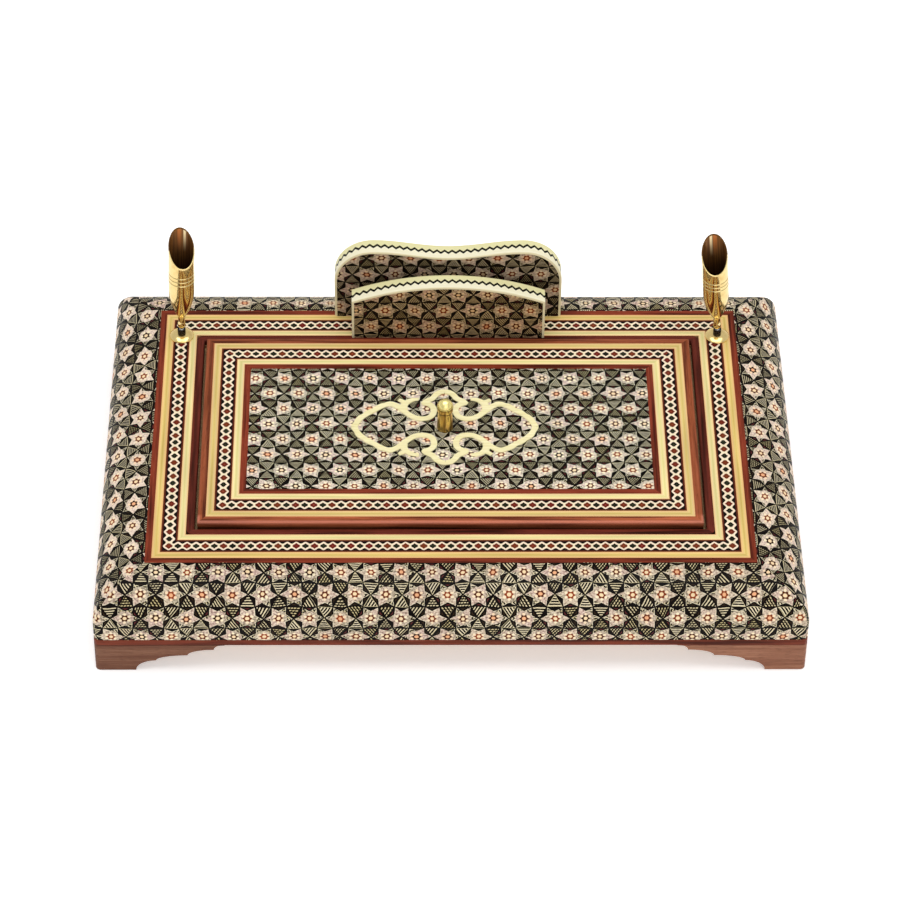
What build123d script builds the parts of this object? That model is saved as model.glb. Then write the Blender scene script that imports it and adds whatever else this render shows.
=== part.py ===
from build123d import *
import math
import os

# Pen box: a low desk box with cushion-shaped inlaid sides, a lift-off lid with a knob, a card
# rack of two upright boards and two swivelling pen funnels. Millimetres, X along the box, Y away
# from the user, Z up. The origin is the centre of the footprint, on the table.

# Case
FRAME_LENGTH = 300.0        # flat top frame, outside edges
FRAME_DEPTH = 185.5
FRAME_TOP = 50.0            # frame surface above the table
LINE_THICK = 3.0            # depth of every strip in the top frame
RED_LINE = 3.2              # strip widths of the frame, from outside to inside
CREAM_LINE = 4.2
BORDER_BAND = 8.2
INNER_CREAM = 3.9
LIPPING = 4.0
CUSHION_OUT = 25.0          # how far the side stands out past the frame edge
CROWN_DROP = 19.5           # height of the rounded shoulder
SKIN = 2.0                  # inlaid veneer over the cushion blocks
WALL = 10.0
TRIM_HEIGHT = 4.0
TRIM_WIDTH = 10.0
LEDGE_WIDTH = 5.0
LEDGE_HEIGHT = 6.0
FLOOR_LINING = 1.5
WALL_LINING = 1.0

# Feet
FOOT_HEIGHT = 17.5
FOOT_BOARD = 8.0            # thickness of a bracket
FOOT_FLAT = 20.0            # length that stands on the table, from the corner
FOOT_STEPS = ((10.0, 6.6), (15.6, 3.6), (13.0, 3.9))    # run and rise of each scallop
LAST_RUN = 5.4              # the last scallop rises to the trim
GLUE_BLOCK = 16.0
GLUE_BLOCK_LIFT = 2.0       # the blocks end this far above the table

# Lid
LID_GAP = 1.4
LID_RAISE = 3.1             # lid surface above the frame
LID_THICK = 8.0
LID_INLAY = 2.0
LID_EDGE = 4.0              # strip widths of the lid, from outside to inside
LID_CREAM = 4.1
LID_BORDER = 8.1
LID_INNER_CREAM = 4.0
LID_RED = 3.3
CLEAT_WIDTH = 8.0
CLEAT_HEIGHT = 5.0
CLEAT_GAP = 1.0             # cleat to the ledge beside it
CLEAT_END_GAP = 6.5         # cleat to the ledges at its ends

LID_CENTRE = (-2.3, 0.4)    # middle of the medallion and of the knob, a little off the lid's middle

# Medallion, drawn as one quarter of its centre line, left and far from the user
MEDALLION_THICK = 0.5
MEDALLION_LINE = 3.1
LOBE_LINE = ((-45.7, 0.0), (-43.4, 5.6), (-35.2, 13.0), (-27.8, 16.9), (-21.3, 12.4),
             (-13.8, 6.3), (-7.6, 7.2), (-5.5, 11.9), (-10.2, 17.6))
ONION_LINE = ((-10.6, 17.2), (-8.9, 19.3), (-6.2, 21.1), (-4.9, 23.2), (-3.1, 25.2), (0.0, 26.1))
LEAF_LINE = ((-20.8, 12.2), (-20.6, 16.0), (-18.4, 18.9), (-13.2, 20.4))
LEAF_SPUR = ((-19.4, 17.4), (-23.4, 20.2))
LEAF_ROOT = 4.4             # width of a leaf where it leaves its lobe, and at its free end
LEAF_TIP = 1.8
SCALLOP = 0.5               # depth of the scallops along a lobe's outer edge, and how many one half lobe has
SCALLOPS = 4
SCALLOP_END = 0.42          # part of the lobe's line that is scalloped

# Knob, radii and heights above the lid
KNOB_FOOT = 4.1
KNOB_WAIST = 3.55
KNOB_RIM = 4.05
KNOB_HEIGHT = 18.6
KNOB_WAIST_UP = 10.0
KNOB_RIM_UP = 11.8
KNOB_RIM_HEIGHT = 2.4
KNOB_STEP = 1.0             # height of the slope under the rim
KNOB_CROWN = 0.5            # radius of the flat on top of the dome
KNOB_BORE_DEPTH = 9.0
KNOB_SCREW = 1.5
WASHER = 4.5
WASHER_THICK = 1.0
SCREW_HEAD = 3.0
SCREW_HEAD_HEIGHT = 2.2

# Card rack
PLATE = 10.0                # rack board, veneers included
PLATE_SKIN = 1.6
BANDING = 1.2
RACK_SLOT = 7.0             # between the boards
RACK_SETBACK = 2.3          # front board behind the lid opening
BACK_WIDTH = 118.0
BACK_HUMP = 44.0
BACK_DIP = 40.0
BACK_ROUND = 20.0
FRONT_WIDTH = 100.0
FRONT_TOP = 34.7
FRONT_END = 24.7
SPACER_INSET = 6.0
SPACER_HEIGHT = 3.0
DOWEL = 1.5                 # radius
DOWEL_DEPTH = 8.0
DOWEL_SPREAD = 36.0         # dowels each side of the middle
DOWEL_LINE = 2.65           # dowel axis behind a board's front face
HOLE_PLAY = 0.1             # radial play of dowels and screws in their holes

# Pen funnels, radii and heights above the frame
FUNNEL_BACK = 19.75         # foot in front of the frame's back edge
RIGHT_SHIFT = 1.6           # the right foot stands this much nearer its end of the box
LEFT_LEAN = 2.2             # degrees towards the middle of the box
RIGHT_LEAN = 5.0
RIGHT_FORWARD = 4.4         # degrees towards the user
LEFT_MOUTH_TURN = 14.0      # degrees, the left mouth faces slightly inwards
FLANGE = 6.2
FLANGE_HEIGHT = 2.2
FLANGE_RIM = 0.7
BALL = 1.6
BALL_UP = 4.3
BALL_PLAY = 0.05
SOCKET = 2.1
SOCKET_TOP = 5.5
SOCKET_MOUTH = 1.56
STEM = 0.8
STEM_PLAY = 0.05
NECK_FROM = 6.4
NECK_FOOT = 1.5
NECK_BULB = 2.05
NECK_TO = 10.4
NECK_THIN = 1.6
STEM_DEPTH = 3.0
CONE_FROM = 14.0
CONE_THIN = 1.9
TUBE = 6.7
TUBE_WALL = 0.5
TUBE_FROM = 33.0
TUBE_LIP = 50.5             # low front lip of the slanted mouth
TUBE_TOP = 68.5
CONE_SOLID = 3.0            # the cone is solid this far above its start
CONE_FLOOR = 0.8            # radius of the flat floor of the hollow
GROOVE = 0.3
GROOVE_WIDTH = 0.9
GROOVE_PITCH = 2.45
GROOVE_UP = 6.25            # first groove above the start of the tube
GROOVES = 3
STUD = 1.5
STUD_DEPTH = 12.0
STUD_SEAT = 1.2             # how far the stud reaches into the flange

# Bottom screws
BOTTOM_SCREW = 1.5
BOTTOM_SCREW_HEAD = 3.0
BOTTOM_SCREW_LENGTH = 14.0
BOTTOM_SCREWS_LONG = 3      # along each long side
BOTTOM_SCREW_SPREAD = 110.0

# Derived places
HALF = (FRAME_LENGTH / 2, FRAME_DEPTH / 2)
BOARD_LOW = FOOT_HEIGHT
BOARD_TOP = BOARD_LOW + TRIM_HEIGHT
STRIP_LOW = FRAME_TOP - LINE_THICK
FRAME_WIDTH = RED_LINE + CREAM_LINE + BORDER_BAND + INNER_CREAM + LIPPING
INSIDE = -FRAME_WIDTH                   # offset of the wall's inner face from the frame edge
CORE_FROM = INSIDE + WALL               # offset where the cushion blocks start
LID_HALF = tuple(size - FRAME_WIDTH - LID_GAP for size in HALF)
LID_TOP = FRAME_TOP + LID_RAISE
LID_LOW = LID_TOP - LID_THICK
INLAY_LOW = LID_TOP - LID_INLAY
LINING_TOP = BOARD_TOP + FLOOR_LINING
RACK_FRONT_Y = HALF[1] - FRAME_WIDTH + RACK_SETBACK
RACK_BACK_Y = RACK_FRONT_Y + PLATE + RACK_SLOT
FUNNEL_X = HALF[0] - RED_LINE - CREAM_LINE - BORDER_BAND / 2
FUNNEL_Y = HALF[1] - FUNNEL_BACK
FUNNEL_FEET = {"left": (-FUNNEL_X, FUNNEL_Y), "right": (FUNNEL_X + RIGHT_SHIFT, FUNNEL_Y)}
FUNNEL_TURNS = {"left": (0.0, LEFT_LEAN, LEFT_MOUTH_TURN), "right": (RIGHT_FORWARD, -RIGHT_LEAN, 0.0)}
WASHER_LOW = LID_LOW - WASHER_THICK
SPARE = 1.0                             # cutting blocks reach this far past what they cut

CORNERS = {"front": ((-1, -1), (1, -1)), "back": ((1, 1), (-1, 1)),
           "left": ((-1, 1), (-1, -1)), "right": ((1, -1), (1, 1))}
OUTWARD = {"front": (0, -1, 0), "back": (0, 1, 0), "left": (-1, 0, 0), "right": (1, 0, 0)}


# Helpers

def save(name, *solids):
    """Write one node: a single solid, or a group of separate solids."""
    shape = solids[0] if len(solids) == 1 else Compound(children=[one.solid() for one in solids])
    if len(solids) == 1:
        shape = shape.solid()
    shape.label = name
    export_step(shape, f"parts/{name}.step")


def corner(signs, half, offset):
    return (signs[0] * (half[0] + offset), signs[1] * (half[1] + offset))


def prism(points, low, high):
    """Upright block over a closed outline of straight lines."""
    face = make_face(Polyline(*points, close=True))
    return extrude(Pos(0, 0, low) * face, amount=high - low, dir=(0, 0, 1))


def mitred(side, half, near, far, low, high):
    """One side of a rectangular ring with 45 degree ends, between two offsets from the half sizes."""
    first, second = CORNERS[side]
    points = [corner(first, half, far), corner(second, half, far),
              corner(second, half, near), corner(first, half, near)]
    return prism(points, low, high)


def ring(half, near, far, low, high):
    return {side: mitred(side, half, near, far, low, high) for side in CORNERS}


def moulding(side, profile, near, far):
    """A profile drawn as offset and height, run along one side of the case and mitred."""
    outward = Vector(*OUTWARD[side])
    edge = Vector(outward.X * HALF[0], outward.Y * HALF[1], 0)
    plane = Plane(origin=edge, x_dir=outward, z_dir=outward.cross(Vector(0, 0, 1)))
    bar = extrude(plane * profile, amount=max(HALF) + far + SPARE, both=True)
    return bar & mitred(side, HALF, near - SPARE, far + SPARE, BOARD_LOW, FRAME_TOP + SPARE)


def rod(x, y, radius, low, high):
    return Pos(x, y, (low + high) / 2) * Cylinder(radius, high - low)


def turned(line):
    """Solid of revolution about Z from a closed line drawn as radius and height."""
    return revolve(Plane.XZ * make_face(line), axis=Axis.Z)


# Case

def crown(inset):
    """Rounded shoulder of the cushion, from its widest point up to the frame edge."""
    return EllipticalCenterArc((0, FRAME_TOP - CROWN_DROP), CUSHION_OUT - inset, CROWN_DROP - inset,
                               start_angle=0, arc_size=90)


def skin_profile():
    waist = FRAME_TOP - CROWN_DROP
    inner = CUSHION_OUT - SKIN
    outline = [crown(0), crown(SKIN), Line((0, FRAME_TOP), (0, FRAME_TOP - SKIN)),
               Polyline((CUSHION_OUT, waist), (CUSHION_OUT, BOARD_TOP), (inner, BOARD_TOP), (inner, waist))]
    return make_face(Curve() + outline)


def core_profile():
    waist = FRAME_TOP - CROWN_DROP
    inner = CUSHION_OUT - SKIN
    rest = Polyline((0, FRAME_TOP - SKIN), (0, STRIP_LOW), (CORE_FROM, STRIP_LOW),
                    (CORE_FROM, BOARD_TOP), (inner, BOARD_TOP), (inner, waist))
    return make_face(Curve() + [crown(SKIN), rest])


def bottom_screw_places():
    """Screws stand under the cushion blocks, along all four sides."""
    offset = CORE_FROM / 2
    step = BOTTOM_SCREW_SPREAD
    middle = (BOTTOM_SCREWS_LONG - 1) / 2
    places = []
    for index in range(BOTTOM_SCREWS_LONG):
        for sign in (-1, 1):
            places.append(((index - middle) * step, sign * (HALF[1] + offset)))
    for sign in (-1, 1):
        places.append((sign * (HALF[0] + offset), 0.0))
    return places


def countersunk(x, y, play):
    """Screw driven up through the bottom board, or its hole when play is added."""
    head = Pos(x, y, BOARD_LOW) * Cone(BOTTOM_SCREW_HEAD + play, BOTTOM_SCREW + play,
                                       BOTTOM_SCREW_HEAD - BOTTOM_SCREW,
                                       align=(Align.CENTER, Align.CENTER, Align.MIN))
    return head + rod(x, y, BOTTOM_SCREW + play, BOARD_LOW, BOARD_LOW + BOTTOM_SCREW_LENGTH)


def make_case():
    """Bottom board, walls, cushion blocks and their skins, before any hole is drilled."""
    trim_from = CUSHION_OUT - TRIM_WIDTH
    parts = {"bottom_board": prism([corner(signs, HALF, trim_from) for signs in
                                    ((-1, -1), (1, -1), (1, 1), (-1, 1))], BOARD_LOW, BOARD_TOP)}
    walls = ring(HALF, INSIDE, CORE_FROM, BOARD_TOP, STRIP_LOW)
    for side in CORNERS:
        parts[f"wall_{side}"] = walls[side]
        parts[f"cushion_block_{side}"] = moulding(side, core_profile(), CORE_FROM, CUSHION_OUT)
        parts[f"khatam_side_{side}"] = moulding(side, skin_profile(), 0, CUSHION_OUT)
    return parts


def make_frame_strips():
    """Strips of the flat top frame, from outside to inside."""
    widths = (("frame_red_line", RED_LINE), ("frame_cream_line", CREAM_LINE),
              ("frame_khatam_border", BORDER_BAND), ("frame_inner_cream", INNER_CREAM),
              ("opening_lipping", LIPPING))
    strips = {}
    far = 0.0
    for name, width in widths:
        strips[name] = ring(HALF, far - width, far, STRIP_LOW, FRAME_TOP)
        far -= width
    return strips


# Feet

def bracket_outline():
    """One bracket seen square on, from the corner along the side: flat, then scallops up to the trim."""
    along, up = FOOT_FLAT, 0.0
    steps = list(FOOT_STEPS)
    steps.append((LAST_RUN, FOOT_HEIGHT - sum(rise for _, rise in FOOT_STEPS)))
    arcs = []
    for run, rise in steps:
        arcs.append(EllipticalCenterArc((along + run, up), run, rise, start_angle=90, arc_size=90))
        along += run
        up += rise
    rest = Polyline((along, FOOT_HEIGHT), (0, FOOT_HEIGHT), (0, 0), (FOOT_FLAT, 0))
    return make_face(Curve() + arcs + [rest])


def bracket(side, index):
    """Bracket at the first or second corner of a side, mitred to its neighbour."""
    start, end = CORNERS[side][index], CORNERS[side][1 - index]
    place = Vector(*corner(start, HALF, CUSHION_OUT), 0)
    along = Vector((end[0] - start[0]) / 2, (end[1] - start[1]) / 2, 0)
    plane = Plane(origin=place, x_dir=along, z_dir=along.cross(Vector(0, 0, 1)))
    board = extrude(plane * bracket_outline(), amount=FOOT_BOARD + SPARE, both=True)
    return board & mitred(side, HALF, CUSHION_OUT - FOOT_BOARD, CUSHION_OUT, -SPARE, FOOT_HEIGHT + SPARE)


def glue_block(signs):
    inner = corner(signs, HALF, CUSHION_OUT - FOOT_BOARD)
    points = [inner, (inner[0] - signs[0] * GLUE_BLOCK, inner[1]), (inner[0], inner[1] - signs[1] * GLUE_BLOCK)]
    return prism(points, GLUE_BLOCK_LIFT, FOOT_HEIGHT)


def make_feet():
    feet = {"front_left": (("front", 0), ("left", 1)), "front_right": (("front", 1), ("right", 0)),
            "back_right": (("back", 0), ("right", 1)), "back_left": (("back", 1), ("left", 0))}
    for name, halves in feet.items():
        save(f"foot_{name}", *[bracket(side, index) for side, index in halves])
    save("foot_glue_blocks", *[glue_block(signs) for signs in ((-1, -1), (1, -1), (1, 1), (-1, 1))])


# Lid

def scallop(along):
    """How far a scalloped edge stands out, at a part of the way along a lobe."""
    if along > SCALLOP_END:
        return 0.0
    return SCALLOP * (abs(math.cos(math.pi * SCALLOPS * along / SCALLOP_END)) - 0.5)


def ribbon(points, start_width, end_width, samples=24, scalloped=False):
    """Flat strip along a smooth centre line, with its width running from one end to the other."""
    line = Spline(*points)
    left, right = [], []
    for index in range(samples + 1):
        along = index / samples
        place = line @ along
        tangent = line % along
        half = (start_width + (end_width - start_width) * along) / 2
        outer = half + scallop(along) if scalloped else half
        left.append((place.X - tangent.Y * outer, place.Y + tangent.X * outer))
        right.append((place.X + tangent.Y * half, place.Y - tangent.X * half))
    ends = [Line(left[0], right[0]), Line(left[-1], right[-1])]
    return make_face(Curve() + [Spline(*left), Spline(*right)] + ends)


def medallion():
    """Fretwork of four scrolled lobes: one quarter, mirrored across both axes."""
    width = MEDALLION_LINE
    quarter = ribbon(LOBE_LINE, width, width, 60, scalloped=True) + ribbon(ONION_LINE, width, width)
    quarter += Pos(*LOBE_LINE[-1]) * Circle(width / 2)
    quarter += ribbon(LEAF_LINE, LEAF_ROOT, LEAF_TIP) + ribbon(LEAF_SPUR, width, LEAF_TIP, samples=1)
    reach = LID_HALF[0]
    quarter &= Pos(-reach / 2, reach / 2) * Rectangle(reach, reach)
    half = quarter + mirror(quarter, about=Plane.YZ)
    flat = half + mirror(half, about=Plane.XZ)
    return extrude(Pos(*LID_CENTRE, LID_TOP) * flat, amount=MEDALLION_THICK, dir=(0, 0, 1))


def knob():
    rim_top = KNOB_RIM_UP + KNOB_RIM_HEIGHT
    step_up = KNOB_RIM_UP - KNOB_STEP
    belly = ((2 * KNOB_FOOT + KNOB_WAIST) / 3, KNOB_WAIST_UP / 2)
    side = ThreePointArc((KNOB_FOOT, 0), belly, (KNOB_WAIST, KNOB_WAIST_UP))
    step = Polyline((KNOB_WAIST, KNOB_WAIST_UP), (KNOB_WAIST, step_up), (KNOB_RIM, KNOB_RIM_UP), (KNOB_RIM, rim_top))
    shoulder = ((KNOB_RIM - KNOB_CROWN) * 0.69 + KNOB_CROWN, rim_top + (KNOB_HEIGHT - rim_top) * 0.69)
    dome = ThreePointArc((KNOB_RIM, rim_top), shoulder, (KNOB_CROWN, KNOB_HEIGHT))
    base = Polyline((KNOB_CROWN, KNOB_HEIGHT), (0, KNOB_HEIGHT), (0, 0), (KNOB_FOOT, 0))
    body = turned(Curve() + [side, step, dome, base])
    bore = rod(0, 0, KNOB_SCREW + HOLE_PLAY, -SPARE, KNOB_BORE_DEPTH)
    return Pos(*LID_CENTRE, LID_TOP) * (body - bore)


def knob_screw():
    shaft = rod(*LID_CENTRE, KNOB_SCREW, WASHER_LOW, LID_TOP + KNOB_BORE_DEPTH)
    head = rod(*LID_CENTRE, SCREW_HEAD, WASHER_LOW - SCREW_HEAD_HEIGHT, WASHER_LOW)
    return shaft + head


def make_lid():
    hole = rod(*LID_CENTRE, KNOB_SCREW + HOLE_PLAY, LID_LOW - SPARE, LID_TOP + SPARE)
    core_half = [size - LID_EDGE for size in LID_HALF]
    core = prism([corner(signs, core_half, 0) for signs in ((-1, -1), (1, -1), (1, 1), (-1, 1))],
                 LID_LOW, INLAY_LOW)
    save("lid_core", core - hole)
    save("lid_edge", *ring(LID_HALF, -LID_EDGE, 0, LID_LOW, LID_TOP).values())
    far = -LID_EDGE
    for name, width in (("lid_cream_line", LID_CREAM), ("lid_khatam_border", LID_BORDER),
                        ("lid_inner_cream", LID_INNER_CREAM), ("lid_red_line", LID_RED)):
        save(name, *ring(LID_HALF, far - width, far, INLAY_LOW, LID_TOP).values())
        far -= width
    panel = prism([corner(signs, LID_HALF, far) for signs in ((-1, -1), (1, -1), (1, 1), (-1, 1))],
                  INLAY_LOW, LID_TOP)
    save("lid_khatam_panel", panel - hole)
    save("medallion", medallion())
    save("knob", knob())
    save("knob_screw", knob_screw())
    save("knob_washer", rod(*LID_CENTRE, WASHER, WASHER_LOW, LID_LOW) - hole)
    ledge = [size + INSIDE - LEDGE_WIDTH for size in HALF]
    outer = ledge[1] - CLEAT_GAP
    cleats = []
    for sign in (-1, 1):
        middle = (0, sign * (outer - CLEAT_WIDTH / 2), LID_LOW - CLEAT_HEIGHT / 2)
        cleats.append(Pos(*middle) * Box(2 * (ledge[0] - CLEAT_END_GAP), CLEAT_WIDTH, CLEAT_HEIGHT))
    save("lid_cleats", *cleats)


# Card rack

def back_outline(inset):
    """Rear board: round shoulders, two humps and a shallow dip between them."""
    side = BACK_WIDTH / 2 - inset
    shoulder = BACK_HUMP - BACK_ROUND
    hump_x = BACK_WIDTH / 2 - BACK_ROUND
    top = Spline((-hump_x, BACK_HUMP - inset), (0, BACK_DIP - inset), (hump_x, BACK_HUMP - inset),
                 tangents=[(1, 0), (1, 0)])
    rounds = [CenterArc((-hump_x, shoulder), BACK_ROUND - inset, 90, 90),
              CenterArc((hump_x, shoulder), BACK_ROUND - inset, 0, 90)]
    rest = Polyline((-side, shoulder), (-side, 0), (side, 0), (side, shoulder))
    return make_face(Curve() + rounds + [top, rest])


def front_outline(inset):
    """Front board: one low arch."""
    rise = FRONT_TOP - FRONT_END
    radius = ((FRONT_WIDTH / 2) ** 2 + rise ** 2) / (2 * rise)
    side = FRONT_WIDTH / 2 - inset
    end = FRONT_TOP - radius + math.sqrt((radius - inset) ** 2 - side ** 2)
    arch = ThreePointArc((-side, end), (0, FRONT_TOP - inset), (side, end))
    rest = Polyline((-side, end), (-side, 0), (side, 0), (side, end))
    return make_face(Curve() + [arch, rest])


def upright(face, front, back):
    plane = Plane(origin=(0, front, FRAME_TOP), x_dir=(1, 0, 0), z_dir=(0, -1, 0))
    return extrude(plane * face, amount=back - front, dir=(0, 1, 0))


def rack_board(name, outline, front, holes):
    """Core between two inlaid veneers, with a banding over its top and ends."""
    rear = front + PLATE
    inner = outline(BANDING)
    save(f"{name}_core", upright(inner, front + PLATE_SKIN, rear - PLATE_SKIN) - holes)
    save(f"{name}_khatam_front", upright(inner, front, front + PLATE_SKIN) - holes)
    save(f"{name}_khatam_rear", upright(inner, rear - PLATE_SKIN, rear))
    save(f"{name}_banding", upright(outline(0) - inner, front, rear))


def dowel_places():
    return [(sign * DOWEL_SPREAD, front + DOWEL_LINE)
            for front in (RACK_FRONT_Y, RACK_BACK_Y) for sign in (-1, 1)]


def dowels(play):
    low, high = FRAME_TOP - DOWEL_DEPTH, FRAME_TOP + DOWEL_DEPTH
    return [rod(x, y, DOWEL + play, low, high) for x, y in dowel_places()]


def make_rack(holes):
    rack_board("rack_front", front_outline, RACK_FRONT_Y, holes)
    rack_board("rack_back", back_outline, RACK_BACK_Y, holes)
    spacer = (FRONT_WIDTH - 2 * SPACER_INSET, RACK_SLOT, SPACER_HEIGHT)
    middle = (0, RACK_FRONT_Y + PLATE + RACK_SLOT / 2, FRAME_TOP + SPACER_HEIGHT / 2)
    save("rack_spacer", Pos(*middle) * Box(*spacer))
    save("rack_dowels", *dowels(0))


# Pen funnels

def flange():
    hub = SOCKET + FLANGE_RIM
    dome = ThreePointArc((FLANGE, FLANGE_RIM), ((FLANGE + hub) / 2, FLANGE_HEIGHT * 0.8), (hub, FLANGE_HEIGHT))
    rest = Polyline((hub, FLANGE_HEIGHT), (0, FLANGE_HEIGHT), (0, 0), (FLANGE, 0), (FLANGE, FLANGE_RIM))
    return turned(Curve() + [dome, rest]) - rod(0, 0, STUD + HOLE_PLAY, -SPARE, STUD_SEAT)


def socket():
    """Small cup round the ball, closed in above the ball's middle so that it holds it."""
    cup = rod(0, 0, SOCKET, FLANGE_HEIGHT, SOCKET_TOP)
    cavity = Pos(0, 0, BALL_UP) * Sphere(BALL + BALL_PLAY)
    mouth_low = BALL_UP + math.sqrt((BALL + BALL_PLAY) ** 2 - SOCKET_MOUTH ** 2) * 0.9
    mouth = Pos(0, 0, mouth_low) * Cone(SOCKET_MOUTH * 0.8, SOCKET_MOUTH * 1.02, SOCKET_TOP - mouth_low + 0.02,
                                        align=(Align.CENTER, Align.CENTER, Align.MIN))
    return cup - cavity - mouth


def ball_stem():
    return Pos(0, 0, BALL_UP) * Sphere(BALL) + rod(0, 0, STEM, BALL_UP, NECK_FROM + STEM_DEPTH - STEM_PLAY)


def tube_cut():
    """Slanted mouth: low at the front lip, high at the back."""
    slope = math.atan2(TUBE_TOP - TUBE_LIP, 2 * TUBE)
    return Plane(origin=(0, 0, (TUBE_TOP + TUBE_LIP) / 2), x_dir=(1, 0, 0),
                 z_dir=(0, -math.sin(slope), math.cos(slope)))


def funnel():
    """Turned neck and cone that open into a thin tube with a slanted mouth and ring grooves."""
    top = TUBE_TOP + SPARE
    inner = TUBE - TUBE_WALL
    rise = TUBE_FROM - CONE_FROM
    flare = TUBE - CONE_THIN
    radius = (rise ** 2 + flare ** 2) / (2 * flare)
    middle_up = CONE_FROM + rise / 2
    middle_out = TUBE - radius + math.sqrt(radius ** 2 - (rise / 2) ** 2)
    hollow_low = CONE_FROM + CONE_SOLID
    bore = STEM + STEM_PLAY
    bore_top = NECK_FROM + STEM_DEPTH
    lines = [ThreePointArc((NECK_FOOT, NECK_FROM), (NECK_BULB, (NECK_FROM + NECK_TO) / 2), (NECK_THIN, NECK_TO)),
             Line((NECK_THIN, NECK_TO), (CONE_THIN, CONE_FROM)),
             ThreePointArc((CONE_THIN, CONE_FROM), (middle_out, middle_up), (TUBE, TUBE_FROM)),
             Polyline((TUBE, TUBE_FROM), (TUBE, top), (inner, top), (inner, TUBE_FROM)),
             ThreePointArc((inner, TUBE_FROM), (middle_out - 2 * TUBE_WALL, middle_up), (CONE_FLOOR, hollow_low)),
             Polyline((CONE_FLOOR, hollow_low), (0, hollow_low), (0, bore_top), (bore, bore_top),
                      (bore, NECK_FROM), (NECK_FOOT, NECK_FROM))]
    body = turned(Curve() + lines)
    for index in range(GROOVES):
        low = TUBE_FROM + GROOVE_UP + index * GROOVE_PITCH
        body -= rod(0, 0, TUBE + SPARE, low, low + GROOVE_WIDTH) - rod(0, 0, TUBE - GROOVE, low, low + GROOVE_WIDTH)
    return split(body, bisect_by=tube_cut(), keep=Keep.BOTTOM)


def stud_rods(play):
    low = FRAME_TOP - STUD_DEPTH
    return [rod(*foot, STUD + play, low, FRAME_TOP + STUD_SEAT) for foot in FUNNEL_FEET.values()]


def make_funnels():
    """Each funnel leans and turns about the middle of its ball; the flange and socket stay upright."""
    for name, (forward, sideways, turn) in FUNNEL_TURNS.items():
        base = Pos(*FUNNEL_FEET[name], FRAME_TOP)
        lean = Pos(0, 0, BALL_UP) * Rot(forward, sideways, 0) * Pos(0, 0, -BALL_UP)
        save(f"funnel_flange_{name}", base * flange())
        save(f"funnel_socket_{name}", base * socket())
        save(f"ball_stem_{name}", base * lean * ball_stem())
        save(f"pen_funnel_{name}", base * lean * Rot(0, 0, turn) * funnel())
    save("funnel_studs", *stud_rods(0))


# Assembly

def make_lining():
    save("lining_floor", prism([corner(signs, HALF, INSIDE) for signs in ((-1, -1), (1, -1), (1, 1), (-1, 1))],
                               BOARD_TOP, LINING_TOP))
    ledge_low = LID_LOW - LEDGE_HEIGHT
    save("lining_walls", *ring(HALF, INSIDE - WALL_LINING, INSIDE, LINING_TOP, ledge_low).values())
    save("ledge_strips", *ring(HALF, INSIDE - LEDGE_WIDTH, INSIDE, ledge_low, LID_LOW).values())


def main():
    os.makedirs("parts", exist_ok=True)
    case = make_case()
    strips = make_frame_strips()
    dowel_holes = dowels(HOLE_PLAY)
    stud_holes = stud_rods(HOLE_PLAY)
    screw_holes = [countersunk(x, y, HOLE_PLAY) for x, y in bottom_screw_places()]
    for name in ("wall_back", "cushion_block_back", "khatam_side_back"):
        case[name] -= dowel_holes
    for side in ("left", "right"):
        case[f"cushion_block_{side}"] -= stud_holes
        strips["frame_khatam_border"][side] -= stud_holes
    for name in ["bottom_board"] + [f"cushion_block_{side}" for side in CORNERS]:
        case[name] -= screw_holes
    for name, pieces in strips.items():
        pieces["back"] -= dowel_holes
        save(name, *pieces.values())
    for name, piece in case.items():
        save(name, piece)
    save("bottom_screws", *[countersunk(x, y, 0) for x, y in bottom_screw_places()])
    save("base_trim", *ring(HALF, CUSHION_OUT - TRIM_WIDTH, CUSHION_OUT, BOARD_LOW, BOARD_TOP).values())
    make_feet()
    make_lining()
    make_lid()
    make_rack(dowel_holes)
    make_funnels()


main()
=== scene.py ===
import math

import bmesh
import bpy
from mathutils import Matrix, Vector


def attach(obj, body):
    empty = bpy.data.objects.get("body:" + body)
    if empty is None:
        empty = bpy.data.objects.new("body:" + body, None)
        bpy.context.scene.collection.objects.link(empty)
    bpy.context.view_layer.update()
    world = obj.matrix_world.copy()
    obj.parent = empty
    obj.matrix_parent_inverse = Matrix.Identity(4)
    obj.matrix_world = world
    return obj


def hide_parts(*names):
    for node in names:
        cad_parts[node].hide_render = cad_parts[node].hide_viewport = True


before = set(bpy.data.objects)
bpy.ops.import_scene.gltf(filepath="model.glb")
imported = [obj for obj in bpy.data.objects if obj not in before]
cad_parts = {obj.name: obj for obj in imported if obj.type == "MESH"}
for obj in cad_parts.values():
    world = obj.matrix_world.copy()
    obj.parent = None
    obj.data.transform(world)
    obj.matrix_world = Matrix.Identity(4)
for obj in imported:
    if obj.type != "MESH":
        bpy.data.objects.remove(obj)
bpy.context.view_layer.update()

MM = 0.001

# Sizes in mm, the same as in the CAD
FRAME_HALF = (150, 92.75)
FRAME_TOP = 50
STRIP_LOW = 47
FRAME_CREAM = (-5.3, 4.2)  # a strip's middle as an offset from the outer edge, and its width
FRAME_BORDER = -11.5  # the middle of the inlaid border, as such an offset
FRAME_INNER = (-17.55, 3.9)
OPENING = -23.5  # offset of the lid opening from the frame edge
LIPPING_WIDTH = 4
CUSHION_OUT = 25
CUSHION_HALF = [size + CUSHION_OUT for size in FRAME_HALF]
CROWN_DROP = 19.5
CUSHION_LOW = 21.5
SKIN = 2
CUSHION_CORNER = 3.5  # plan radius of the cushion's corners at its foot
FOOT_HEIGHT = 17.5
FOOT_BOARD = 8
FOOT_FLAT = 20
FOOT_STEPS = ((10, 6.6), (15.6, 3.6), (13, 3.9), (5.4, 3.4))
FOOT_CORNER = 2.6  # plan radius of the outer corners of the feet and the base trim
FOOT_EASE = 0.35
TRIM_WIDTH = 10
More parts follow.
